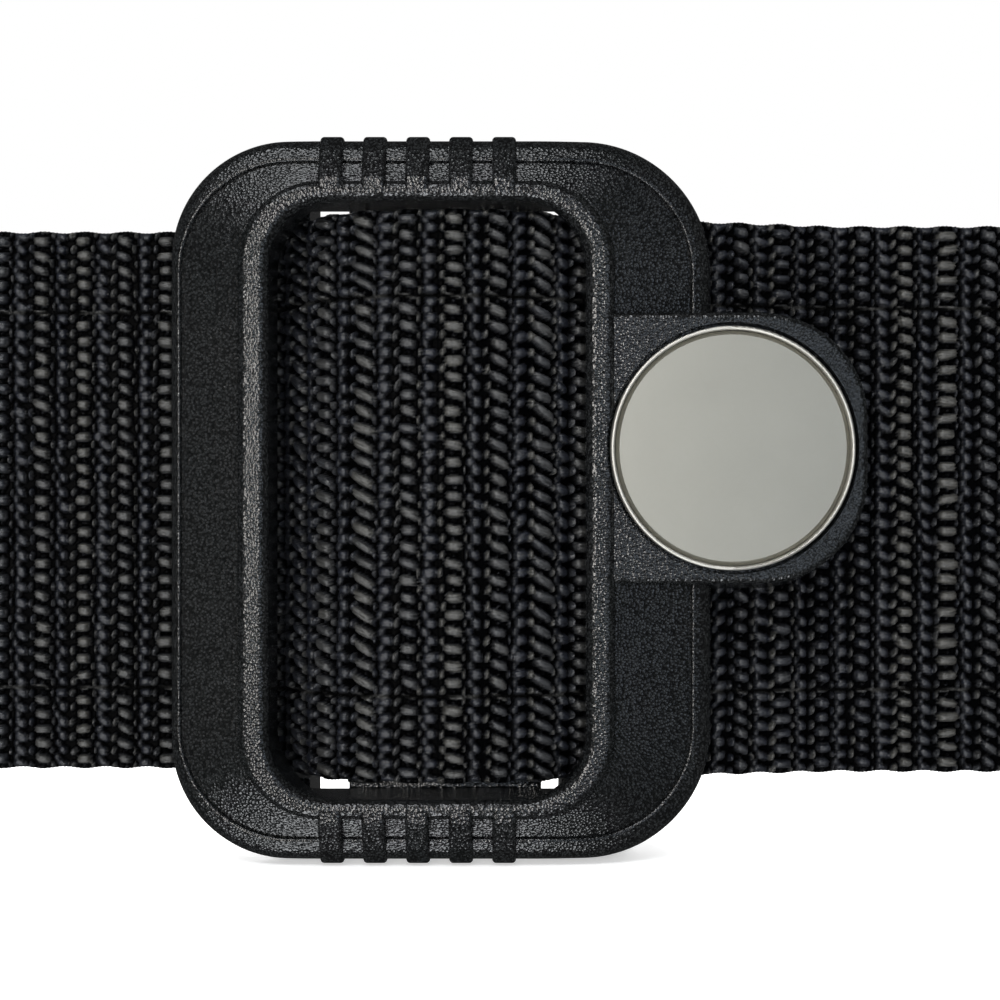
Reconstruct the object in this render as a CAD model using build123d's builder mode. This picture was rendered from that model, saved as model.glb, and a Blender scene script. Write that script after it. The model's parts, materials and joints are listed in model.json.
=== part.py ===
from build123d import *
from math import acos, cos, degrees, radians, sin, tan
import os

# A waist belt of woven webbing, closed by a clamping buckle, standing on its lower edge.
# The buckle faces -Y. Two local measures are used: depth is the distance in front of the
# buckle's back plane, towards -Y, and height is the distance above the webbing's middle.

# Webbing
web_width = 50.0
web_thick = 2.5
web_depth_left = 3.95  # middle of the webbing left of the buckle
tail_depth = 6.55  # middle of the tail where it lies over the sewn lap
crest_x = 0.3
crest_depth = 14.25  # middle of the webbing over the buckle's bridge
left_arc_x = -78.6
right_arc_x = 80.0
right_arc_radius = 92.0
side_turn = 125.0
back_turn = 110.0
tail_turn = 75.0
lap_end_x = 62.0
ply_gap = 0.1

# The webbing's path over the bridge, in arcs (radius, turn) and straights (length, 0)
ramp_radius, ramp_turn = 5.0, 52.0
shoulder_radius, crest_radius, crest_turn = 8.0, 22.0, 20.0
fall_radius, fall_shoulder = 26.0, 18.0
fall_start = [(fall_radius, fall_shoulder), (9.0, 20.0), (1.5, 0), (6.0, -33.0), (8.6, 0), (20.0, 5.0)]
fall_heading = fall_shoulder + 20.0 - 33.0 + 5.0
level_radius = 20.0
drop_turn, drop_radius = 15.0, 20.0
lap_turn, lap_radius = 20.0, 8.0

# The webbing seen from the side: it leans down behind the buckle until its edge meets the ground
sag_radius = 450.0
sag_lean = 1.94
sag_front = 30.0

# Anchor bar that the sewn end goes round
anchor_x = 15.5
anchor_radius = 1.2
wrap_radius = anchor_radius + ply_gap + web_thick / 2
main_depth = web_thick / 2
anchor_depth = main_depth + wrap_radius

# Lever frame
frame_left, frame_right, frame_half = -23.75, 24.2, 31.7
frame_radius_left, frame_radius_right = 10.4, 11.3
window_left, window_right, window_half, window_radius = -14.7, 12.9, 26.05, 5.6
bead_left, bead_right, bead_half, bead_radius = -17.4, 15.4, 27.75, 7.2
bead_round, rim_round, rim_round_under = 0.8, 1.5, 0.6
groove_left, groove_right, groove_half, groove_radius = -22.5, 22.1, 29.4, 9.4
groove_width = 0.36
groove_drop = 0.4
groove_lip = 0.25
under_depth = 9.7
bead_depth = 16.0
face_depth = 15.1  # the sloping face at the foot of the bead
face_slope = 17.0
rib_count, rib_pitch, rib_width, rib_middle_x = 5, 3.78, 2.1, -1.8
rib_outer = 32.0  # the buckle rests on its lower ribs

# Tab with the badge
tab_middle = 4.5
tab_half = 11.7
tab_end_x = 37.3
tab_radius = 9.1
tab_depth = 15.6
tab_under = 10.4
tab_draft = 0.75
badge_x = 25.6
badge_radius = 10.6
badge_rim = 0.34
pocket_radius = 10.95
pocket_depth = 13.5
pad_thick = 0.3
badge_floor = 0.6
rim_depth = 15.95
insert_depth = 15.7
face_gap, face_bevel = 0.06, 0.35

# Hinge
hinge_x, hinge_depth = -14.0, 11.0
pin_radius = 0.9
pin_clearance = 0.05
pin_low, pin_high = 27.0, 31.3
ear_radius = 2.2
ear_clearance = 0.35

# Room for the webbing behind the lever frame, as x and depth: first on the clamping side,
# from the window's corners out to the frame's edge, then behind the corners on the hinge side
channel_roof = [(9.0, 14.6), (10.6, 13.8), (12.0, 12.9), (13.1, 12.05), (14.2, 11.35), (15.6, 10.98)]
channel_roof += [(24.6, 10.2), (24.6, 5.0), (9.0, 5.0)]
corner_relief = [(-14.8, 5.0), (-14.8, 8.2), (-12.3, 11.4), (-10.9, 12.75), (-9.0, 14.2)]
corner_relief += [(-7.0, 14.9), (-7.0, 5.0)]
notch_first, notch_pitch, notch_count, notch_size, notch_depth = 16.4, 1.4, 3, 0.6, 10.8
ear_pocket_left, ear_pocket_right = -18.2, -11.3

# Base
cheek_inner, cheek_outer = 28.4, 30.4
cheek_depth = 9.4
cheek_right = 18.5
bridge_half = 25.3
# Blocks inside the cheeks that keep the webbing's edges in line: left, right and top
edge_guides = [(-15.6, -11.9, 8.6), (11.0, 18.5, 9.2)]
bridge_gap = 0.25
bridge_foot_depth = 9.2
bridge_wall = 2.2

# Stitches on the body side of the sewn lap
stitch_left, stitch_right, stitch_half = 36.0, 60.0, 21.0
stitch_width, stitch_proud = 0.9, 0.35


def turned(angle):
    return Vector(cos(radians(angle)), sin(radians(angle)))


def path_end(moves, heading=0.0):
    """Where straights (length, 0) and arcs (radius, turn) lead to from the origin."""
    place = Vector(0, 0)
    for size, turn in moves:
        if turn == 0:
            place += turned(heading) * size
            continue
        side = 1 if turn > 0 else -1
        centre = place + turned(heading + 90 * side) * size
        heading += turn
        place = centre - turned(heading + 90 * side) * size
    return place


def draw_edge(start, heading, moves, side):
    """Draws the path moved to its left by side, and returns its first and last point."""
    first = Vector(*start) + turned(heading + 90) * side
    pen = first
    for size, turn in moves:
        if turn == 0:
            pen = Line(pen, pen + turned(heading) * size) @ 1
        else:
            radius = size - side if turn > 0 else size + side
            pen = JernArc(pen, turned(heading), radius, turn) @ 1
            heading += turn
    return first, pen


def ribbon(plane, start, heading, moves, half):
    """A face of even width along the path."""
    with BuildSketch(plane) as face:
        with BuildLine():
            left_first, left_last = draw_edge(start, heading, moves, half)
            right_first, right_last = draw_edge(start, heading, moves, -half)
            Line(left_first, right_first)
            Line(left_last, right_last)
        make_face()
    return face.sketch


# The webbing's path seen from above, with x to the right and depth towards -Y.
# It starts at the cut end of the sewn lap and ends at the tip of the free tail.
lap_rise = anchor_depth + wrap_radius - main_depth - web_thick - ply_gap
lap_slope = (lap_rise - 2 * lap_radius * (1 - cos(radians(lap_turn)))) / sin(radians(lap_turn))
lap_bend = [(lap_radius, lap_turn), (lap_slope, 0), (lap_radius, -lap_turn)]
lap_flat = lap_end_x - anchor_x - path_end(lap_bend).X
sewn_end = [(lap_flat, 0)] + lap_bend + [(wrap_radius, -180), (right_arc_x - anchor_x, 0)]

side_gain = 1 - cos(radians(side_turn))
left_arc_radius = right_arc_radius + (web_depth_left - main_depth) / side_gain
arc_sum = sin(radians(side_turn)) * (right_arc_radius + left_arc_radius)
back_radius = (right_arc_x - left_arc_x + arc_sum) / (2 * sin(radians(side_turn)))
loop = [(right_arc_radius, side_turn), (back_radius, back_turn), (left_arc_radius, side_turn)]

ramp_foot = (ramp_radius, -ramp_turn)
shoulder = (shoulder_radius, ramp_turn - crest_turn)
crest_left = (crest_radius, crest_turn)
ramp_rise = -path_end([ramp_foot, shoulder, crest_left]).Y
ramp_length = (crest_depth - web_depth_left - ramp_rise) / sin(radians(ramp_turn))
climb = [ramp_foot, (ramp_length, 0), shoulder, crest_left]
climb = [(crest_x - left_arc_x - path_end(climb).X, 0)] + climb

level_out = (level_radius, -fall_heading)
fall_left = crest_depth - tail_depth - path_end(fall_start + [level_out]).Y
fall = fall_start + [(fall_left / sin(radians(fall_heading)), 0), level_out]

tail_drop = tail_depth - web_depth_left
drop_slope = (tail_drop - 2 * drop_radius * (1 - cos(radians(drop_turn)))) / sin(radians(drop_turn))
drop = [(drop_radius, drop_turn), (drop_slope, 0), (drop_radius, -drop_turn)]
tail_flat = right_arc_x - crest_x - path_end(fall).X - path_end(drop).X
tail_radius = right_arc_radius + web_depth_left - main_depth
tail = fall + [(tail_flat, 0)] + drop + [(tail_radius, tail_turn)]

web_path = sewn_end + loop + climb + tail
web_start = (lap_end_x, -main_depth - web_thick - ply_gap)

# Placement: the origin is the middle of the belt's footprint, on the ground
loop_back = path_end([loop[0]]).Y - main_depth + back_radius * (1 + cos(radians(side_turn)))
loop_back += web_thick / 2
back_plane_y = (bead_depth - loop_back) / 2
middle_x = (left_arc_radius - left_arc_x - right_arc_radius - right_arc_x) / 2
middle_z = rib_outer


def plan_plane(height):
    """Seen from above: local y is -depth."""
    return Plane(origin=(middle_x, back_plane_y, middle_z + height))


def front_plane(depth):
    """Seen from the front: local x to the right, local y up, extruding towards the viewer."""
    origin = (middle_x, back_plane_y - depth, middle_z)
    return Plane(origin=origin, x_dir=(1, 0, 0), z_dir=(0, -1, 0))


def section_plane(x):
    """A cut across the belt: local x is height, local y is depth."""
    origin = (middle_x + x, back_plane_y, middle_z)
    return Plane(origin=origin, x_dir=(0, 0, 1), z_dir=(1, 0, 0))


def finish(piece, label):
    piece.part.label = label
    export_step(piece.part, f"parts/{label}.step")


def outline(plane, left, right, half, left_radius, right_radius, grow=0.0):
    """An upright rounded rectangle with its own radius on each side."""
    with BuildSketch(plane) as shape:
        with Locations(((left + right) / 2, 0)):
            Rectangle(right - left + 2 * grow, 2 * half + 2 * grow)
        fillet(shape.vertices().group_by(Axis.X)[0], left_radius + grow)
        fillet(shape.vertices().group_by(Axis.X)[-1], right_radius + grow)
    return shape.sketch


def frame_outline(plane, grow=0.0):
    return outline(plane, frame_left, frame_right, frame_half, frame_radius_left, frame_radius_right, grow)


def bead_outline(plane, grow=0.0):
    return outline(plane, bead_left, bead_right, bead_half, bead_radius, bead_radius, grow)


def groove_outline(plane, grow=0.0):
    return outline(plane, groove_left, groove_right, groove_half, groove_radius, groove_radius, grow)


def window_outline(plane):
    return outline(plane, window_left, window_right, window_half, window_radius, window_radius)


def sloping_roof(drop):
    """The two ends of a loft under the face that falls away outwards from the foot of the bead."""
    spread = (face_depth - under_depth) / tan(radians(face_slope))
    foot = bead_outline(front_plane(under_depth - drop), spread)
    return foot, bead_outline(front_plane(face_depth - drop))


os.makedirs("parts", exist_ok=True)

# The webbing: one ribbon along the path, cut to the side view in which it climbs to the buckle
buckle_lift = rib_outer - web_width / 2
sag_drop = buckle_lift - web_depth_left * tan(radians(sag_lean))
sag_turn = degrees(acos((1 + cos(radians(sag_lean)) - sag_drop / sag_radius) / 2))
sag = [
    (sag_front / cos(radians(sag_lean)), 0),
    (sag_radius, -(sag_turn - sag_lean)),
    (sag_radius, sag_turn),
    (loop_back, 0),
]
sag_start = (-sag_front, (sag_front - web_depth_left) * tan(radians(sag_lean)))

with BuildPart() as strap_webbing:
    plan = ribbon(plan_plane(-middle_z - 10), web_start, 180, web_path, web_thick / 2)
    extrude(plan, amount=2 * middle_z + 20)
    side_origin = (-1.5 * right_arc_radius - right_arc_x, back_plane_y, middle_z)
    side_plane = Plane(origin=side_origin, x_dir=(0, 1, 0), z_dir=(1, 0, 0))
    side_view = ribbon(side_plane, sag_start, -sag_lean, sag, web_width / 2)
    extrude(side_view, amount=-2 * side_origin[0], mode=Mode.INTERSECT)
finish(strap_webbing, "strap_webbing")

# The lap's stitches: a box with a cross in it, on the side that faces the wearer
with BuildPart() as fixed_end_stitching:
    stitch_length = stitch_right - stitch_left
    stitch_diagonal = (stitch_length**2 + (2 * stitch_half) ** 2) ** 0.5
    diagonal_angle = degrees(acos(stitch_length / stitch_diagonal))
    with BuildSketch(front_plane(0)) as box_and_cross:
        with Locations(((stitch_left + stitch_right) / 2, 0)):
            Rectangle(stitch_length, 2 * stitch_half)
            inner = stitch_length - 2 * stitch_width
            Rectangle(inner, 2 * stitch_half - 2 * stitch_width, mode=Mode.SUBTRACT)
            for angle in (diagonal_angle, -diagonal_angle):
                Rectangle(stitch_diagonal - 2 * stitch_width, stitch_width, rotation=angle)
    extrude(amount=-stitch_proud)
finish(fixed_end_stitching, "fixed_end_stitching")

# The base: a domed bridge that the webbing runs over, between two cheeks with hinge ears
bridge_inside = web_thick / 2 + bridge_gap
left_edge_turn, right_edge_turn = 15.5, 10.5
cheek_thick = cheek_outer - cheek_inner
with BuildPart() as base_chassis:
    with BuildSketch(plan_plane(-bridge_half)):
        with BuildLine():
            top = (crest_x, bridge_inside - crest_depth)
            left_dome = JernArc(top, (-1, 0), crest_radius - bridge_inside, -crest_turn)
            left_round = shoulder_radius - bridge_inside
            left_edge = JernArc(left_dome @ 1, left_dome % 1, left_round, -left_edge_turn)
            right_dome = JernArc(top, (1, 0), fall_radius - bridge_inside, fall_shoulder)
            right_round = fall_start[1][0] - bridge_inside
            right_edge = JernArc(right_dome @ 1, right_dome % 1, right_round, right_edge_turn)
            left_foot = ((left_edge @ 1).X, 0)
            right_foot = ((right_edge @ 1).X, 0)
            Polyline(left_edge @ 1, left_foot, right_foot, right_edge @ 1)
        make_face()
    extrude(amount=2 * bridge_half)
    bridge_left, bridge_right = left_foot[0], right_foot[0]
    with BuildSketch(front_plane(0)):
        with Locations(((bridge_left + bridge_right) / 2, 0)):
            Rectangle(bridge_right - bridge_left, 2 * cheek_outer)
    extrude(amount=bridge_foot_depth)
    for cheek_low in (-cheek_outer, cheek_inner):
        with BuildSketch(plan_plane(cheek_low)) as cheek:
            with Locations((hinge_x, -hinge_depth)):
                Circle(ear_radius)
            with Locations((hinge_x, -hinge_depth / 2)):
                Rectangle(2 * ear_radius, hinge_depth)
            with Locations(((hinge_x + cheek_right) / 2, -cheek_depth / 2)):
                Rectangle(cheek_right - hinge_x, cheek_depth)
            fillet(cheek.vertices().group_by(Axis.X)[-1], 2.0)
            fillet(cheek.vertices().group_by(Axis.X)[0].sort_by(Axis.Y)[-1], 1.5)
        extrude(amount=cheek_thick)
    guide_z = (cheek_inner + bridge_half) / 2
    for guide_left, guide_right, guide_top in edge_guides:
        guide_x = (guide_left + guide_right) / 2
        with BuildSketch(front_plane(0)):
            with Locations((guide_x, guide_z), (guide_x, -guide_z)):
                Rectangle(guide_right - guide_left, cheek_inner - bridge_half)
        extrude(amount=guide_top)
    with BuildSketch(front_plane(0)):
        with Locations(((bridge_left + bridge_right) / 2, 0)):
            hollow_width = bridge_right - bridge_left - 2 * bridge_wall
            Rectangle(hollow_width, 2 * cheek_inner - 2 * bridge_wall)
            Rectangle(hollow_width, bridge_wall, mode=Mode.SUBTRACT)
    extrude(amount=bridge_foot_depth - bridge_wall / 2, mode=Mode.SUBTRACT)
    with BuildSketch(plan_plane(-cheek_outer)):
        with Locations((anchor_x, -anchor_depth)):
            Circle(anchor_radius)
        with Locations((hinge_x, -hinge_depth)):
            Circle(pin_radius + pin_clearance)
    extrude(amount=2 * cheek_outer, mode=Mode.SUBTRACT)
finish(base_chassis, "base_chassis")

with BuildPart() as anchor_bar:
    with BuildSketch(plan_plane(-cheek_outer)):
        with Locations((anchor_x, -anchor_depth)):
            Circle(anchor_radius)
    extrude(amount=2 * cheek_outer)
    chamfer(anchor_bar.edges().filter_by(GeomType.CIRCLE), 0.25)
finish(anchor_bar, "anchor_bar")

for end, name in ((1, "hinge_pin_upper"), (-1, "hinge_pin_lower")):
    with BuildPart() as hinge_pin:
        with BuildSketch(plan_plane(end * pin_low)):
            with Locations((hinge_x, -hinge_depth)):
                Circle(pin_radius)
        extrude(amount=end * (pin_high - pin_low))
        chamfer(hinge_pin.edges().filter_by(GeomType.CIRCLE), 0.2)
    finish(hinge_pin, name)

# The lever frame's rails: a slab under the sloping face, with a groove near its outer edge
rail_height = bead_depth - under_depth


def rim_edges(slab):
    """The edges where the side walls meet the sloping face."""
    walls = slab.faces().filter_by(lambda face: abs(face.normal_at().Y) < 0.01)
    upper = walls.edges().filter_by(Axis.Y, reverse=True)
    return upper.filter_by(lambda edge: edge.center().Y < back_plane_y - under_depth - 0.5)


with BuildPart() as rail_slab:
    loft(sloping_roof(0.0), ruled=True)
    extrude(frame_outline(front_plane(under_depth)), amount=rail_height, mode=Mode.INTERSECT)
    fillet(rim_edges(rail_slab), rim_round)
    fillet(rail_slab.faces().sort_by(Axis.Y)[-1].edges(), rim_round_under)
with BuildPart() as groove_slab:
    loft(sloping_roof(groove_drop), ruled=True)
    groove_outside = groove_outline(front_plane(under_depth), groove_width / 2)
    extrude(groove_outside, amount=rail_height, mode=Mode.INTERSECT)
with BuildPart() as panel_slab:
    loft(sloping_roof(0.0), ruled=True)
    groove_inside = groove_outline(front_plane(under_depth), -groove_width / 2)
    extrude(groove_inside, amount=rail_height, mode=Mode.INTERSECT)

with BuildPart() as rim_band:
    add(rail_slab.part)
    extrude(groove_outside, amount=rail_height, mode=Mode.SUBTRACT)
    lip = rim_band.edges(Select.LAST).filter_by(Axis.Y, reverse=True)
    fillet(lip.filter_by(lambda edge: edge.center().Y < back_plane_y - under_depth - 0.5), groove_lip)

with BuildPart() as bead:
    extrude(bead_outline(front_plane(under_depth)), amount=rail_height)
    fillet(bead.faces().sort_by(Axis.Y)[0].edges(), bead_round)

# The tab: a drafted boss that carries the badge, with its own flat top
with BuildPart() as tab:
    tab_width = tab_end_x - bead_right + 1.0
    tab_centre = (tab_end_x - tab_width / 2, tab_middle)
    for depth, grow in ((tab_under, tab_draft), (tab_depth, 0.0)):
        with BuildSketch(front_plane(depth)) as tab_level:
            with Locations((tab_centre[0] + grow / 2, tab_centre[1])):
                Rectangle(tab_width + grow, 2 * tab_half + 2 * grow)
            fillet(tab_level.vertices().group_by(Axis.X)[-1], tab_radius + grow)
    loft(ruled=True)
    fillet(tab.faces().sort_by(Axis.Y)[0].edges().sort_by(Axis.X)[1:], 0.5)

# One grip rib, seen from the side, runs from the bead over the outer edge
rib_profile = [
    (bead_half - 0.85, under_depth + 0.4),
    (bead_half - 0.85, bead_depth + 0.1),
    (bead_half + 0.2, bead_depth + 0.1),
    (frame_half - 1.2, 14.75),
    (rib_outer, 13.6),
    (rib_outer, under_depth + 0.9),
    (frame_half - 0.2, under_depth + 0.4),
]
with BuildPart() as grip_ribs:
    for rib in range(rib_count):
        rib_x = rib_middle_x + rib_pitch * (rib - (rib_count - 1) / 2)
        with BuildSketch(section_plane(rib_x - rib_width / 2)) as rib_side:
            with BuildLine():
                Polyline(*rib_profile, close=True)
            make_face()
            fillet(rib_side.vertices().sort_by(Axis.X)[-2:], 0.8)
            mirror(about=Plane.YZ)
        extrude(amount=rib_width)
    long_edges = grip_ribs.edges().filter_by(Axis.X, reverse=True)
    outer_edges = long_edges.filter_by(lambda edge: edge.center().Y < back_plane_y - under_depth - 1.5)
    fillet(outer_edges, 0.35)

with BuildPart() as lever_frame:
    add(rim_band.part)
    add(groove_slab.part)
    add(panel_slab.part)
    add(bead.part)
    add(tab.part)
    extrude(window_outline(front_plane(under_depth - 1)), amount=rail_height + 2, mode=Mode.SUBTRACT)
    bead_top = lever_frame.faces().sort_by(Axis.Y)[0]
    fillet(bead_top.inner_wires()[0].edges(), bead_round)
    add(grip_ribs.part)
    # room for the webbing, with shallow notches that grip it on the clamping side
    with BuildSketch(plan_plane(-window_half)):
        for room in (channel_roof, corner_relief):
            with BuildLine():
                Polyline(*[(x, -depth) for x, depth in room], close=True)
            make_face()
        for notch in range(notch_count):
            with Locations((notch_first + notch * notch_pitch, -notch_depth)):
                RegularPolygon(notch_size, 3, rotation=-90)
    extrude(amount=2 * window_half, mode=Mode.SUBTRACT)
    with BuildSketch(front_plane(pocket_depth)):
        with Locations((badge_x, tab_middle)):
            Circle(pocket_radius)
    extrude(amount=bead_depth, mode=Mode.SUBTRACT)
    # pockets for the base's ears, wider on the side that the rail swings down to
    for pocket_low in (-cheek_outer - ear_clearance, cheek_inner - ear_clearance):
        with BuildSketch(plan_plane(pocket_low)):
            with Locations((hinge_x, -hinge_depth)):
                Circle(ear_radius + ear_clearance)
            with Locations(((ear_pocket_left + ear_pocket_right) / 2, -hinge_depth + ear_radius)):
                Rectangle(ear_pocket_right - ear_pocket_left, 2 * ear_radius)
        extrude(amount=cheek_thick + 2 * ear_clearance, mode=Mode.SUBTRACT)
    for end in (1, -1):
        with BuildSketch(plan_plane(end * pin_low)):
            with Locations((hinge_x, -hinge_depth)):
                Circle(pin_radius)
        extrude(amount=end * (pin_high - pin_low), mode=Mode.SUBTRACT)
finish(lever_frame, "lever_frame")

# The badge: a foam pad, a metal cup with a thin rim, and a satin face set into it
with BuildPart() as badge_pad:
    with BuildSketch(front_plane(pocket_depth)):
        with Locations((badge_x, tab_middle)):
            Circle(badge_radius - 0.8)
    extrude(amount=pad_thick)
finish(badge_pad, "badge_pad")

cup_depth = pocket_depth + pad_thick
with BuildPart() as badge_bezel:
    with BuildSketch(front_plane(cup_depth)):
        with Locations((badge_x, tab_middle)):
            Circle(badge_radius)
    extrude(amount=rim_depth - cup_depth)
    with BuildSketch(front_plane(cup_depth + badge_floor)):
        with Locations((badge_x, tab_middle)):
            Circle(badge_radius - badge_rim)
    extrude(amount=rim_depth, mode=Mode.SUBTRACT)
    fillet(badge_bezel.faces().sort_by(Axis.Y)[0].edges(), 0.15)
    fillet(badge_bezel.faces().sort_by(Axis.Y)[-1].edges(), 0.3)
finish(badge_bezel, "badge_bezel")

with BuildPart() as badge_face:
    with BuildSketch(front_plane(cup_depth + badge_floor)):
        with Locations((badge_x, tab_middle)):
            Circle(badge_radius - badge_rim - face_gap)
    extrude(amount=insert_depth - cup_depth - badge_floor)
    chamfer(badge_face.faces().sort_by(Axis.Y)[0].edges(), face_bevel)
finish(badge_face, "badge_face")
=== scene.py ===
import json
import math

import bpy
import numpy as np
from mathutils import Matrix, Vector

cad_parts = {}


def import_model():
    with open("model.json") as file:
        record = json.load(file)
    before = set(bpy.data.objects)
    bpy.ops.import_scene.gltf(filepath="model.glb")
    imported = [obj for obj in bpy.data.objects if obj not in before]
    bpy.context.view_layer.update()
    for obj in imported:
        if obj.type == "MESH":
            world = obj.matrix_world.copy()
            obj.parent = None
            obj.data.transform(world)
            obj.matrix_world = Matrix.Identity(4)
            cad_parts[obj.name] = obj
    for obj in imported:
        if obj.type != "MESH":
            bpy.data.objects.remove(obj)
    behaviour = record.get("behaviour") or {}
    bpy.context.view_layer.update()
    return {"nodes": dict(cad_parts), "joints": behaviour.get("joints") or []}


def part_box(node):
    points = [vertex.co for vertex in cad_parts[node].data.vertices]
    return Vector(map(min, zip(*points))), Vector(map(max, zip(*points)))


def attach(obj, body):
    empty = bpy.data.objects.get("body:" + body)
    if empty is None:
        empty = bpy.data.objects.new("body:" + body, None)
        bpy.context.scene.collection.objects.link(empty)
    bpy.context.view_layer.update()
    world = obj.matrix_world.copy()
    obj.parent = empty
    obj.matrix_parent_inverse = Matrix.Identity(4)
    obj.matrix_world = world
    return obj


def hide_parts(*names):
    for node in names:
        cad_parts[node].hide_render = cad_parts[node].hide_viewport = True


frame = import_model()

MM = 0.001

# Places from the frame. The belt's middle plane and back plane are found from the lever's hinge,
# which stands 14 mm left of the window's middle and 11 mm in front of the back plane.
hinge = Vector(frame["joints"][0]["pos_m"])
centre_x = hinge.x + 14.0 * MM
back_y = hinge.y + 11.0 * MM
middle_z = hinge.z

# Webbing, in millimetres
WEB_HALF = 25.0
WEB_THICK = 2.5
RIB = 3.87  # one repeat of the weave along the webbing
ROW = 1.481  # one row across the webbing
EDGE_ROW = 1.36  # the closer rows of the edge bands
BAND = 17.45  # where the edge bands begin
VALLEY, RELIEF = 0.30, 0.95  # half thickness at the weave's valleys, and how far its yarns stand out
SELVEDGE = 25.12  # how far the woven edges reach from the middle
ROUNDING = 0.9  # radius of the woven edges
FRONT_LINE = 3.95  # how far the webbing's middle stands in front of the back plane, at the front
LOW_POINT = 0.905  # where along the repeat the weave is at its lowest
WEAVE_SEED = 7


# ---------------------------------------------------------------------------- the webbing's path

def straight_between(height, radius, turn):
    """Length of the straight between two equal arcs that together climb height."""
    angle = math.radians(turn)
    return (height - 2 * radius * (1 - math.cos(angle))) / math.sin(angle)


def climb_between(height, radius, turn):
    """An arc, a straight and an arc back, which together climb height and keep the heading."""
    return [(radius, turn), (straight_between(height, radius, turn), 0), (radius, -turn)]


def direction(angle):
    return np.array([np.cos(np.radians(angle)), np.sin(np.radians(angle))])


class Path:
    """Straights (length, 0) and arcs (radius, turn in degrees), walked from a start point."""

    def __init__(self, start, heading, moves):
        self.rows = []
        place, length = np.array(start, float), 0.0
        for size, turn in moves:
            self.rows.append((length, place, heading, size, turn))
            if turn == 0:
                place = place + direction(heading) * size
                length += size
            else:
                side = math.copysign(90, turn)
                centre = place + direction(heading + side) * size
                heading += turn
                place = centre - direction(heading + side) * size
                length += size * math.radians(abs(turn))
        self.end, self.length = place, length

    def at(self, s):
        """Points, and headings in degrees, at the lengths s."""
        starts = np.array([row[0] for row in self.rows])
        index = np.clip(np.searchsorted(starts, s, side="right") - 1, 0, len(starts) - 1)
        points, headings = np.zeros((len(s), 2)), np.zeros(len(s))
        for i, (start, place, heading, size, turn) in enumerate(self.rows):
            here = index == i
            along = s[here] - start
            if turn == 0:
                headings[here] = heading
                points[here] = place + np.outer(along, direction(heading))
                continue
            side = math.copysign(90, turn)
            centre = place + direction(heading + side) * size
            now = heading + np.degrees(along / size) * math.copysign(1, turn)
            headings[here] = now
            points[here] = centre - direction(now + side).T * size
        return points, headings


def reach(moves, heading=0.0):
    return Path((0, 0), heading, moves).end


def web_moves():
    """The same straights and arcs as the CAD webbing, from the sewn end's cut to the tail's tip."""
    main, gap, anchor_radius = WEB_THICK / 2, 0.1, 1.2
    wrap = anchor_radius + gap + main
    anchor_x, lap_x, crest_x, right_x, left_x = 15.5, 62.0, 0.3, 80.0, -78.6
    front, tail_depth, crest = FRONT_LINE, 6.55, 14.25

    lap_bend = climb_between(2 * wrap - WEB_THICK - gap, 8.0, 20)
    sewn = [(lap_x - anchor_x - reach(lap_bend)[0], 0)] + lap_bend
    sewn += [(wrap, -180), (right_x - anchor_x, 0)]

    side_turn, back_turn, right_radius = 125, 110, 92.0
    sine, cosine = math.sin(math.radians(side_turn)), math.cos(math.radians(side_turn))
    left_radius = right_radius + (front - main) / (1 - cosine)
    back_radius = (right_x - left_x + sine * (right_radius + left_radius)) / (2 * sine)
    loop = [(right_radius, side_turn), (back_radius, back_turn), (left_radius, side_turn)]

    ramp_turn, crest_turn = 52, 20
    rise = [(5.0, -ramp_turn), (0.0, 0), (8.0, ramp_turn - crest_turn), (22.0, crest_turn)]
    rise[1] = ((crest - front + reach(rise)[1]) / math.sin(math.radians(ramp_turn)), 0)
    climb = [(crest_x - left_x - reach(rise)[0], 0)] + rise

    fall = [(26.0, 18), (9.0, 20), (1.5, 0), (6.0, -33), (8.6, 0), (20.0, 5)]
    fall_heading = sum(turn for _, turn in fall)
    level = (20.0, -fall_heading)
    slope = (crest - tail_depth - reach(fall + [level])[1]) / math.sin(math.radians(fall_heading))
    fall += [(slope, 0), level]
    drop = climb_between(tail_depth - front, 20.0, 15)
    flat = right_x - crest_x - reach(fall)[0] - reach(drop)[0]
    tail_turn = 75
    tail = fall + [(flat, 0)] + drop + [(right_radius + front - main, tail_turn)]

    start = (lap_x, -main - WEB_THICK - gap)
    return Path(start, 180, sewn + loop + climb + tail), Path(start, 180, sewn + loop + climb).length


web_path, crest_s = web_moves()


def sag_line():
    """The height of the webbing's middle against how far back it is, from the buckle to the ground."""
    lean, radius, front, back = 1.94, 450.0, 30.0, 230.0
    lift = middle_z / MM - WEB_HALF
    slope = math.tan(math.radians(lean))
    drop = lift - FRONT_LINE * slope
    turn = math.degrees(math.acos((1 + math.cos(math.radians(lean)) - drop / radius) / 2))
    straight = front / math.cos(math.radians(lean))
    moves = [(straight, 0), (radius, lean - turn), (radius, turn), (back, 0)]
    path = Path((-front, (front - FRONT_LINE) * slope), -lean, moves)
    points, _ = path.at(np.linspace(0, path.length, 400))
    return points


sag = sag_line()


# ---------------------------------------------------------------------------- the weave

def row_place(w):
    """Which row of the weave a height w is in. The edge bands start after a thin line."""
    thin_line = 0.3
    inner = w / ROW
    outer = np.sign(w) * (BAND / ROW + thin_line + (np.abs(w) - BAND) / EDGE_ROW)
    return np.where(np.abs(w) < BAND, inner, outer)


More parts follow.
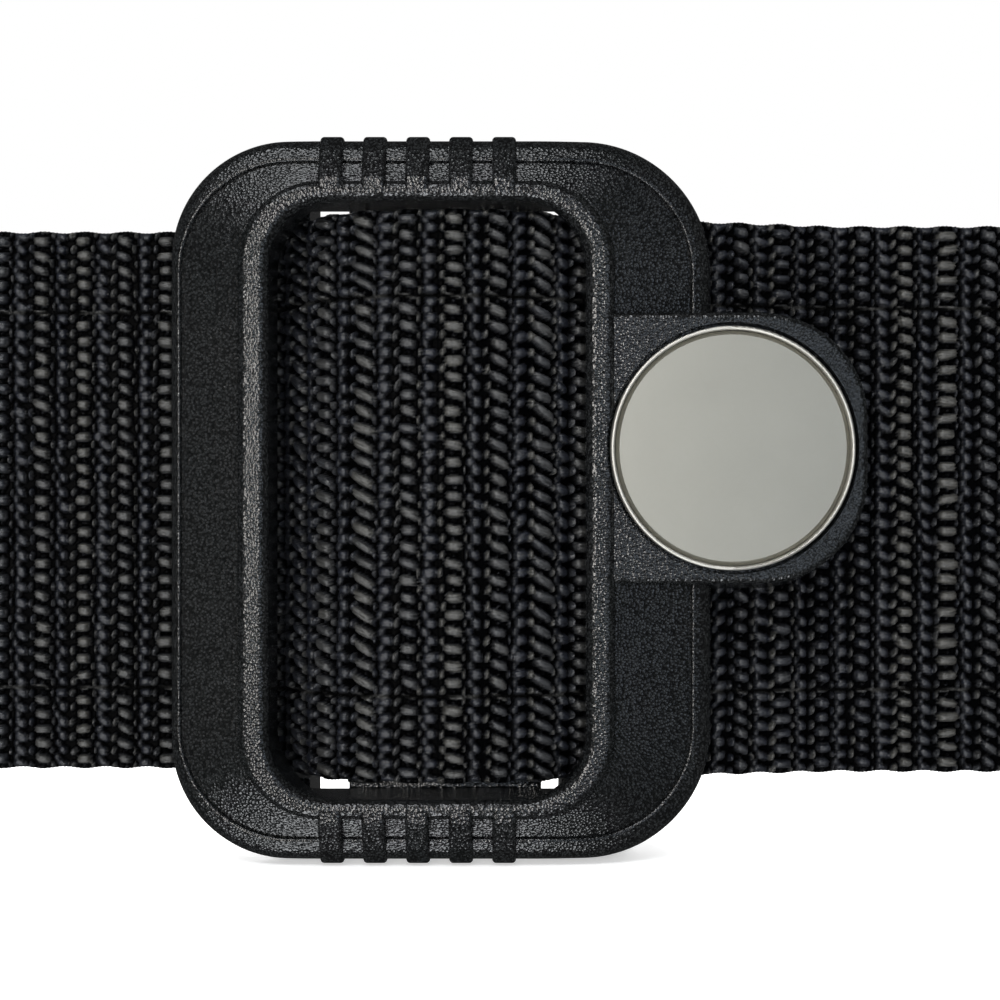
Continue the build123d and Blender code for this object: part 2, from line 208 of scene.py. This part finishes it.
# Each kind of float in one repeat: middle along the repeat, row phase, half length, half height,
# top, slant, roundness, and how warm and light its yarn looks, partly the yarn's own tone and
# partly painted shade that makes the lower floats darker
FLOATS = [
    (0.28, 0.0, 0.76, 0.47, 1.00, -0.20, 3.2, 1.00),
    (0.02, 0.5, 0.28, 0.42, 0.95, 0.45, 2.2, 1.00),
    (0.525, 0.5, 0.15, 0.38, 0.92, 0.30, 2.2, 1.00),
    (0.77, 0.5, 0.58, 0.50, 0.72, -0.15, 2.6, 0.20),
    (0.66, 0.0, 0.36, 0.46, 0.46, 0.15, 2.4, 0.08),
    (0.28, 0.5, 0.20, 0.14, 0.40, 0.00, 2.0, 0.25),
]


def weave(s, w):
    """At length s and height w: the weave's height from 0 to 1, a thread coordinate and a tint that mixes
    the yarns' tone with painted light and shade.
    """
    rng = np.random.default_rng(WEAVE_SEED)
    repeats = int(web_path.length / RIB) + 8
    rows = 90  # more than the webbing has across, so that none repeats
    # Small differences from float to float, then from one column of floats to the next; the lightness that
    # changes from column to column is painted light, for how each column catches the light
    scatter = rng.normal(size=(len(FLOATS), repeats, rows, 5)).clip(-2, 2)
    column_painted_light = rng.uniform(-0.75, 0.1, size=(len(FLOATS), repeats))
    lean = rng.normal(0, 0.16, size=(len(FLOATS), repeats))
    length = rng.normal(1, 0.13, size=(len(FLOATS), repeats)).clip(0.75, 1.25)
    along, row = s / RIB, row_place(w)
    height, tint, across = np.zeros_like(s), np.zeros_like(s), np.zeros_like(s)
    for kind, (middle, phase, half_s, half_w, top, slant, power, yarn_tone_and_painted_shade) in enumerate(FLOATS):
        i = np.rint(along - middle)
        index = i.astype(int) % repeats
        for side in (0, 1):
            j = np.floor(row - phase) + side
            odd = scatter[kind, index, (j.astype(int) + rows // 2) % rows]
            ds = (along - middle - i) * RIB - 0.07 * odd[..., 0]
            tilt = slant + lean[kind, index] + 0.10 * odd[..., 2]
            dw = (row - phase - j) * ROW - 0.05 * odd[..., 1] - tilt * ds
            fray = 1 + 0.10 * np.sin(21 * dw + 9 * odd[..., 3])
            reach_s = half_s * length[kind, index] * (1 + 0.08 * odd[..., 3]) * fray
            reach_w = half_w * (1 + 0.06 * odd[..., 4])
            q = np.abs(ds / reach_s) ** power + np.abs(dw / reach_w) ** power
            pad = (top + 0.05 * odd[..., 3]) * np.clip(1 - q, 0, None) ** 0.30
            over = pad > height
            # Painted light and shade in the tone: lower kinds of float are darker, and each column is
            # lighter or darker as if it caught the light differently
            tint = np.where(over, yarn_tone_and_painted_shade + yarn_tone_and_painted_shade * column_painted_light[kind, index] + 0.08 * odd[..., 4], tint)
            across = np.where(over, dw + 5 * odd[..., 0], across)
            height = np.maximum(height, pad)
    # The thin line of stitching where each edge band begins
    line = np.exp(-(((np.abs(w) - BAND - 0.05) / 0.22) ** 2))
    dash = np.clip(np.cos(2 * np.pi * (along / 2 + 0.2)) - 0.55, 0, 1)
    height = height * (1 - 0.85 * line) + 0.9 * line * dash
    tint = tint * (1 - line) + line
    return height, across, tint


def web_heights(rows):
    """Heights across the webbing: rows samples to each row, and closer ones round the edges."""
    step = ROW / rows
    flat = SELVEDGE - ROUNDING
    inner = np.arange(-flat, flat + step / 2, step)
    edge = SELVEDGE - ROUNDING * (1 - np.sin(np.linspace(0.2, math.pi / 2, 6)))
    return np.concatenate([-edge[::-1], inner, edge])


def surface_normals(co):
    """Normals of a closed ring of points swept along the webbing, the same on both sides of a cut."""
    along = np.gradient(co.astype(float), axis=0)
    around = np.roll(co, -1, axis=1).astype(float) - np.roll(co, 1, axis=1)
    normals = np.cross(along, around)
    return normals / np.linalg.norm(normals, axis=-1, keepdims=True).clip(1e-12)


def swept_mesh(name, co):
    """A closed mesh from rings of points, with a cap on each end."""
    count, ring = co.shape[:2]
    k = np.arange(ring)
    k_next = (k + 1) % ring
    base = (np.arange(count - 1) * ring)[:, None]
    quads = np.stack([base + k, base + ring + k, base + ring + k_next, base + k_next], axis=-1)
    quads = quads.reshape(-1, 4)
    first_cap, last_cap = np.arange(ring), (count - 1) * ring + np.arange(ring)[::-1]
    mesh = bpy.data.meshes.new(name)
    mesh.vertices.add(count * ring)
    mesh.vertices.foreach_set("co", co.ravel())
    loops = np.concatenate([quads.ravel(), first_cap, last_cap]).astype(np.int32)
    mesh.loops.add(len(loops))
    mesh.loops.foreach_set("vertex_index", loops)
    totals = np.concatenate([np.full(len(quads), 4), [ring, ring]]).astype(np.int32)
    mesh.polygons.add(len(totals))
    mesh.polygons.foreach_set("loop_start", (np.cumsum(totals) - totals).astype(np.int32))
    mesh.polygons.foreach_set("use_smooth", np.ones(len(totals), bool))
    mesh.update(calc_edges=True)
    return mesh


def web_piece(name, s_start, s_end, per_rib, rows_out, rows_in):
    """A closed length of webbing. rows_out and rows_in set how finely each face is cut."""
    count = max(2, int(round((s_end - s_start) / RIB * per_rib)) + 1)
    step = (s_end - s_start) / (count - 1)
    s_line = np.linspace(s_start - step, s_end + step, count + 2)
    outer, inner = web_heights(rows_out), web_heights(rows_in)[::-1][1:-1]
    w_ring = np.concatenate([outer, inner])
    side_ring = np.concatenate([np.ones(len(outer)), -np.ones(len(inner))])
    s, w = np.meshgrid(s_line, w_ring, indexing="ij")
    side = np.broadcast_to(side_ring, s.shape)
    shift = np.where(side > 0, 0.0, 0.5 * RIB)
    height, across, tint = weave(s + shift, w)
    melted = 3.0  # how much of each cut end is sealed flat by heat
    finish = np.clip((web_path.length - s) / melted, 0, 1)
    start = np.clip(s / melted, 0, 1)
    sealed = np.minimum(finish, start) ** 0.5
    half = VALLEY + RELIEF * height * sealed
    half = half * (0.55 + 0.45 * sealed)
    rim = np.clip((np.abs(w) - (SELVEDGE - ROUNDING)) / ROUNDING, 0, 1)
    half = half * np.sqrt(np.clip(1 - rim**2, 0, 1))
    # The edges bulge a little at each repeat
    scallop = 0.09 * np.cos(2 * np.pi * (s / RIB - 0.28)) + 0.03 * np.sin(17.0 * s)
    w_moved = w + np.sign(w) * scallop * np.clip((np.abs(w) - 22.0) / 3.0, 0, 1)
    points, headings = web_path.at(s_line)
    normal = direction(headings - 90).T
    offset = (half * side)[..., None] * normal[:, None, :]
    plan = points[:, None, :] + offset
    z = w_moved + np.interp(points[:, 1], sag[:, 0], sag[:, 1])[:, None]
    co = np.empty(s.shape + (3,), np.float32)
    co[..., 0] = centre_x + plan[..., 0] * MM
    co[..., 1] = back_y + plan[..., 1] * MM
    co[..., 2] = middle_z + z * MM
    normals = surface_normals(co)
    co, s, across, height, tint = (field[1:-1] for field in (co, s, across, height, tint))
    mesh = swept_mesh(name, co)
    cloth = mesh.attributes.new("cloth", "FLOAT_VECTOR", "POINT")
    cloth.data.foreach_set("vector", np.stack([s, across, height], axis=-1).astype(np.float32).ravel())
    # The yarn attribute carries the tone from the weave, its painted light and shade included
    yarn = mesh.attributes.new("yarn", "FLOAT", "POINT")
    yarn.data.foreach_set("value", tint.astype(np.float32).ravel())
    mesh.normals_split_custom_set_from_vertices(normals[1:-1].reshape(-1, 3))
    piece = bpy.data.objects.new(name, mesh)
    bpy.context.scene.collection.objects.link(piece)
    return piece


# ---------------------------------------------------------------------------- materials

class Shader:
    """A node material with one Principled shader, and helpers that add and link nodes."""

    def __init__(self, name, **values):
        self.material = bpy.data.materials.new(name)
        self.material.use_nodes = True
        self.tree = self.material.node_tree
        self.bsdf = self.tree.nodes["Principled BSDF"]
        for socket, value in values.items():
            self.bsdf.inputs[socket.replace("_", " ")].default_value = value

    def node(self, kind, **values):
        made = self.tree.nodes.new(kind)
        for key, value in values.items():
            setattr(made, key, value)
        return made

    def link(self, source, target):
        self.tree.links.new(source, target)

    def feed(self, node, **values):
        """Sets a node's inputs by name, with a link where the value is a socket."""
        for socket, value in values.items():
            target = node.inputs[socket.replace("_", " ")]
            if isinstance(value, bpy.types.NodeSocket):
                self.link(value, target)
            else:
                target.default_value = value
        return node

    def position(self, scale=(1, 1, 1)):
        """Object coordinates, in metres, scaled."""
        coords = self.node("ShaderNodeTexCoord").outputs["Object"]
        mapping = self.feed(self.node("ShaderNodeMapping"), Vector=coords, Scale=scale)
        return mapping.outputs["Vector"]

    def attribute(self, name, output="Vector", scale=(1, 1, 1)):
        found = self.node("ShaderNodeAttribute", attribute_name=name).outputs[output]
        if output != "Vector":
            return found
        return self.feed(self.node("ShaderNodeMapping"), Vector=found, Scale=scale).outputs["Vector"]

    def noise(self, vector, scale, detail=2.0, roughness=0.5):
        made = self.node("ShaderNodeTexNoise")
        self.feed(made, Vector=vector, Scale=scale, Detail=detail, Roughness=roughness)
        return made.outputs["Fac"]

    def ramp(self, fac, *stops):
        """A colour ramp. Each stop is a place and a colour, or a place and a grey level."""
        made = self.node("ShaderNodeValToRGB")
        elements = made.color_ramp.elements
        while len(elements) < len(stops):
            elements.new(0.5)
        for element, (place, colour) in zip(elements, stops):
            element.position = place
            grey = not hasattr(colour, "__len__")
            element.color = (colour, colour, colour, 1) if grey else (*colour, 1)
        self.link(fac, made.inputs["Fac"])
        return made.outputs["Color"]

    def multiply(self, a, b):
        made = self.node("ShaderNodeMix", data_type="RGBA", blend_type="MULTIPLY")
        made.inputs[0].default_value = 1.0
        self.link(a, made.inputs[6])
        self.link(b, made.inputs[7])
        return made.outputs[2]

    def bump(self, height, strength, distance):
        last = self.bsdf.inputs["Normal"].links
        made = self.node("ShaderNodeBump")
        self.feed(made, Height=height, Strength=strength, Distance=distance)
        if last:
            self.link(last[0].from_socket, made.inputs["Normal"])
        self.link(made.outputs["Normal"], self.bsdf.inputs["Normal"])


def moulded_plastic():
    """Black moulded plastic with a fine leathery grain that sparkles where it faces the light."""
    shader = Shader("moulded_plastic", Specular_IOR_Level=0.5)
    place = shader.position()
    grain = shader.feed(shader.node("ShaderNodeTexVoronoi", feature="F1"), Vector=place, Scale=4300.0)
    fine = shader.noise(place, 8500.0, 1.0, 0.6)
    broad = shader.noise(place, 120.0, 3.0, 0.5)
    black = shader.ramp(broad, (0.3, (0.75, 0.80, 0.82)), (0.7, (1.0, 1.0, 1.0)))
    pit, skin = (0.018, 0.019, 0.0195), (0.0025, 0.0026, 0.0027)
    pitted = shader.ramp(grain.outputs["Distance"], (0.10, pit), (0.60, skin))
    shader.link(shader.multiply(black, pitted), shader.bsdf.inputs["Base Color"])
    shader.link(shader.ramp(fine, (0.25, 0.10), (0.75, 0.18)), shader.bsdf.inputs["Roughness"])
    shader.bump(grain.outputs["Distance"], 1.0, 0.00004)
    shader.bump(fine, 0.6, 0.000014)
    return shader.material


def webbing():
    """Black filament yarn: fine streaks along each float, tinted a little from yarn to yarn with painted
    light and shade mixed in, and painted shade in the weave's valleys.
    """
    shader = Shader("webbing", Specular_IOR_Level=0.8, Sheen_Weight=0.02, Sheen_Roughness=0.4)
    shader.bsdf.inputs["Sheen Tint"].default_value = (0.6, 0.62, 0.68, 1)
    cloth = shader.attribute("cloth", scale=(0.9, 6.0, 0.0))
    streak = shader.noise(cloth, 1.0, 3.0, 0.6)
    # The yarn tone is partly the yarns' own colour and partly painted light and shade from the weave
    yarn = shader.attribute("yarn", "Fac")
    blue_black, black, warm_grey = (0.0050, 0.0068, 0.0130), (0.013, 0.015, 0.020), (0.048, 0.047, 0.042)
    colour = shader.ramp(yarn, (0.05, blue_black), (0.45, black), (1.0, warm_grey))
    streaks = shader.ramp(streak, (0.38, 0.35), (0.62, 1.0))
    colour = shader.multiply(colour, streaks)
    depth = shader.node("ShaderNodeSeparateXYZ")
    shader.link(shader.attribute("cloth"), depth.inputs[0])
    # Painted shade: the base colour darkens towards the weave's valleys, where shade falls between the
    # yarns
    painted_valley_shade = shader.ramp(depth.outputs["Z"], (0.15, 0.03), (0.65, 1.0))
    shader.link(shader.multiply(colour, painted_valley_shade), shader.bsdf.inputs["Base Color"])
    rough = shader.ramp(streak, (0.3, 0.32), (0.7, 0.46))
    shader.link(rough, shader.bsdf.inputs["Roughness"])
    # Painted shade on the reflections: the specular tint darkens towards the valleys in the same way
    painted_valley_reflection_shade = shader.ramp(depth.outputs["Z"], (0.18, 0.02), (0.60, 1.0))
    shader.link(painted_valley_reflection_shade, shader.bsdf.inputs["Specular Tint"])
    shader.bump(streak, 0.9, 0.00016)
    return shader.material


def metal(name, colour, smooth, rough, streak_scale):
    """Metal with faint streaks and cloudy finish."""
    shader = Shader(name, Metallic=1.0)
    streak = shader.noise(shader.position(streak_scale), 1.0, 3.0, 0.6)
    cloud = shader.noise(shader.position(), 180.0, 3.0, 0.5)
    low = tuple(c * 0.97 for c in colour)
    high = tuple(min(1.0, c * 1.02) for c in colour)
    shader.link(shader.ramp(cloud, (0.3, low), (0.7, high)), shader.bsdf.inputs["Base Color"])
    shader.link(shader.ramp(streak, (0.3, smooth), (0.7, rough)), shader.bsdf.inputs["Roughness"])
    shader.bump(streak, 0.02, 0.00001)
    return shader.material


def thread():
    """Twisted black sewing thread."""
    shader = Shader("sewing_thread", Sheen_Weight=0.3)
    twist = shader.noise(shader.position(), 2600.0, 2.0, 0.5)
    strands = shader.ramp(twist, (0.3, (0.010, 0.010, 0.011)), (0.7, (0.030, 0.030, 0.033)))
    shader.link(strands, shader.bsdf.inputs["Base Color"])
    shader.link(shader.ramp(twist, (0.3, 0.45), (0.7, 0.7)), shader.bsdf.inputs["Roughness"])
    shader.bump(twist, 0.4, 0.00008)
    return shader.material


def foam():
    """Black closed-cell foam."""
    shader = Shader("adhesive_foam")
    cells = shader.noise(shader.position(), 3000.0, 3.0, 0.6)
    shader.link(shader.ramp(cells, (0.3, 0.012), (0.7, 0.035)), shader.bsdf.inputs["Base Color"])
    shader.link(shader.ramp(cells, (0.3, 0.8), (0.7, 0.95)), shader.bsdf.inputs["Roughness"])
    shader.bump(cells, 0.4, 0.00015)
    return shader.material


def dress(piece, material):
    piece.data.materials.clear()
    piece.data.materials.append(material)


plastic = moulded_plastic()
steel = metal("ground_steel", (0.55, 0.55, 0.56), 0.22, 0.38, (900, 900, 30))
rim_metal = metal("badge_rim", (0.76, 0.74, 0.68), 0.52, 0.58, (900, 900, 900))
face_metal = metal("badge_satin", (0.420, 0.411, 0.365), 0.48, 0.51, (2500, 2500, 2500))
dress(frame["nodes"]["lever_frame"], plastic)
dress(frame["nodes"]["base_chassis"], plastic)
dress(frame["nodes"]["badge_bezel"], rim_metal)
dress(frame["nodes"]["badge_face"], face_metal)
dress(frame["nodes"]["badge_pad"], foam())
for name in ("anchor_bar", "hinge_pin_upper", "hinge_pin_lower"):
    dress(frame["nodes"][name], steel)


# ---------------------------------------------------------------------------- the webbing's pieces

def at_valley(s):
    """The nearest length where the weave is at its lowest, so that two pieces meet unseen."""
    return (round(s / RIB - LOW_POINT) + LOW_POINT) * RIB


COARSE, FINE = (8, 4, 3), (26, 10, 3)  # samples to a repeat, and to a row on the outer and inner face
fine_from, fine_to = at_valley(crest_s - 66), at_valley(crest_s + 66)
lap_to = at_valley(140.0)
plan = [("webbing_sewn_end", 0.0, lap_to, *COARSE)]
side_names = ("right_side", "back_right", "back_left", "left_side", "left_front")
front_names = ("under_left_rail", "up_the_ramp", "over_bridge", "down_to_bar", "under_badge")
stretches = ((side_names, lap_to, fine_from, COARSE), (front_names, fine_from, fine_to, FINE))
for names, low, high, cuts in stretches:
    marks = [at_valley(s) for s in np.linspace(low, high, len(names) + 1)]
    for part_name, start, end in zip(names, marks[:-1], marks[1:]):
        plan.append((f"webbing_{part_name}", start, end, *cuts))
plan.append(("webbing_tail", fine_to, web_path.length, *COARSE))

web_material = webbing()
for details in plan:
    piece = web_piece(*details)
    dress(piece, web_material)
    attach(piece, "belt")
    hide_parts("strap_webbing")


# ---------------------------------------------------------------------------- the sewn end's stitches

def stitches():
    """Rows of single stitches in a box and a cross, on the side that faces the wearer."""
    low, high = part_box("fixed_end_stitching")
    inset = 0.45 * MM
    left, right = low.x + inset, high.x - inset
    bottom, top = low.z + inset, high.z - inset
    corners = [(left, bottom), (right, bottom), (right, top), (left, top)]
    lines = [(corners[i], corners[(i + 1) % 4]) for i in range(4)]
    lines += [(corners[0], corners[2]), (corners[1], corners[3])]
    pitch, radius = 2.6 * MM, 0.26 * MM
    around, along = 8, 7
    verts, faces = [], []
    for start, end in lines:
        start, end = Vector((start[0], 0, start[1])), Vector((end[0], 0, end[1]))
        run = end - start
        count = int(round(run.length / pitch))
        step = run / count
        forward = step.normalized()
        across = Vector((0, 1, 0)).cross(forward)
        for i in range(count):
            middle = start + step * (i + 0.5)
            first = len(verts)
            for a in range(along + 1):
                t = -1 + 2 * a / along
                swell = math.sqrt(max(0.0, 1 - t**4)) * radius + 0.02 * MM
                dip = (1 - t * t) * 0.14 * MM
                for b in range(around):
                    angle = 2 * math.pi * b / around
                    side = across * math.cos(angle) * swell
                    lift = low.y + 0.02 * MM + dip + math.sin(angle) * swell
                    verts.append(middle + forward * (t * 0.43 * pitch) + side + Vector((0, lift, 0)))
            for a in range(along):
                for b in range(around):
                    c = (b + 1) % around
                    p = first + a * around
                    faces.append((p + b, p + c, p + around + c, p + around + b))
            faces.append(tuple(first + b for b in reversed(range(around))))
            faces.append(tuple(first + along * around + b for b in range(around)))
    mesh = bpy.data.meshes.new("sewn_end_stitches")
    mesh.from_pydata([tuple(v) for v in verts], [], faces)
    mesh.polygons.foreach_set("use_smooth", [True] * len(mesh.polygons))
    made = bpy.data.objects.new("sewn_end_stitches", mesh)
    bpy.context.scene.collection.objects.link(made)
    return made


stitching = stitches()
dress(stitching, thread())
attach(stitching, "belt")
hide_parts("fixed_end_stitching")


# ---------------------------------------------------------------------------- stage, lights and camera

def floor():
    """A white floor, small and glowing enough to hide its own edge."""
    mesh = bpy.data.meshes.new("floor")
    size = 1.2
    corners = [(-size, -size, 0), (size, -size, 0), (size, size, 0), (-size, size, 0)]
    mesh.from_pydata(corners, [], [(0, 1, 2, 3)])
    made = bpy.data.objects.new("floor", mesh)
    made.location.z = -0.0002
    bpy.context.scene.collection.objects.link(made)
    shader = Shader("pale_floor", Roughness=0.9, Specular_IOR_Level=0.0, Emission_Strength=0.5)
    shader.bsdf.inputs["Emission Color"].default_value = (1, 1, 1, 1)
    shader.bsdf.inputs["Base Color"].default_value = (0.94, 0.94, 0.94, 1)
    dress(made, shader.material)
    made.visible_glossy = False
    made.visible_shadow = False


def area_light(name, place, aim, size, radiance, colour, in_gloss=True):
    """A soft light. Its power follows from how bright its face is."""
    lamp = bpy.data.lights.new(name, "AREA")
    lamp.shape = "RECTANGLE"
    lamp.size, lamp.size_y = size
    lamp.energy = radiance * math.pi * size[0] * size[1]
    lamp.color = colour
    made = bpy.data.objects.new(name, lamp)
    made.location = place
    made.rotation_euler = (Vector(aim) - Vector(place)).to_track_quat("-Z", "Y").to_euler()
    made.visible_glossy = in_gloss
    bpy.context.scene.collection.objects.link(made)


def world():
    """White all round for the eye, softer for fill light, and dim in reflections."""
    made = bpy.data.worlds.new("studio")
    bpy.context.scene.world = made
    made.use_nodes = True
    nodes, links = made.node_tree.nodes, made.node_tree.links
    path = nodes.new("ShaderNodeLightPath")
    colour = None
    for ray, grey in ((None, 0.35), ("Is Glossy Ray", 0.05), ("Is Camera Ray", 1.0)):
        choose = nodes.new("ShaderNodeMix")
        choose.data_type = "RGBA"
        choose.inputs[6].default_value = choose.inputs[7].default_value = (grey, grey, grey, 1)
        if ray:
            links.new(path.outputs[ray], choose.inputs[0])
            links.new(colour, choose.inputs[6])
        colour = choose.outputs[2]
    links.new(colour, nodes["Background"].inputs["Color"])
    nodes["Background"].inputs["Strength"].default_value = 1.0


def round_buckle(azimuth, elevation, distance):
    """A place seen from the buckle, with azimuth to the right of straight ahead, in degrees."""
    a, e = math.radians(azimuth), math.radians(elevation)
    return buckle + Vector((math.sin(a) * math.cos(e), -math.cos(a) * math.cos(e), math.sin(e))) * distance


floor()
world()
buckle = Vector((centre_x, back_y, middle_z))
middle = Vector((0.0, 0.0, middle_z))
above = buckle + Vector((0.0, -0.1, 1.1))
white, cool = (1.0, 1.0, 1.0), (0.94, 0.97, 1.0)
area_light("left_softbox", round_buckle(-16, 4, 0.6), buckle, (0.06, 0.42), 18.0, (1.0, 0.97, 0.93))
area_light("far_left", round_buckle(-33, 0, 0.6), buckle, (0.06, 0.50), 0.4, (1.0, 1.0, 0.97))
area_light("right_softbox", round_buckle(24, 4, 0.6), buckle, (0.04, 0.42), 3.0, (0.72, 0.84, 1.0))
area_light("front_panel", round_buckle(9, 0, 0.7), buckle, (0.15, 0.22), 2.5, (0.78, 0.88, 1.0))
area_light("high_strip", round_buckle(-14, 44, 0.6), buckle, (0.40, 0.12), 7.5, cool)
area_light("low_strip", round_buckle(-14, -44, 0.6), buckle, (0.40, 0.12), 9.0, cool)
area_light("back_left", round_buckle(-145, 30, 1.3), middle, (0.8, 0.6), 9.0, white, False)
area_light("back_right", round_buckle(145, 30, 1.3), middle, (0.8, 0.6), 9.0, white, False)
area_light("top_softbox", above, buckle, (1.6, 1.6), 2.0, white, False)

camera = bpy.data.cameras.new("camera")
camera.lens, camera.sensor_width = 57.96, 36.0
camera.clip_start = 0.01
viewpoint = bpy.data.objects.new("camera", camera)
viewpoint.location = buckle + Vector((5.4, -155.2, 0.0)) * MM  # close to the buckle, level with it
viewpoint.rotation_euler = (math.pi / 2, 0, 0)
bpy.context.scene.collection.objects.link(viewpoint)
bpy.context.scene.camera = viewpoint
bpy.context.scene.view_settings.view_transform = "Standard"
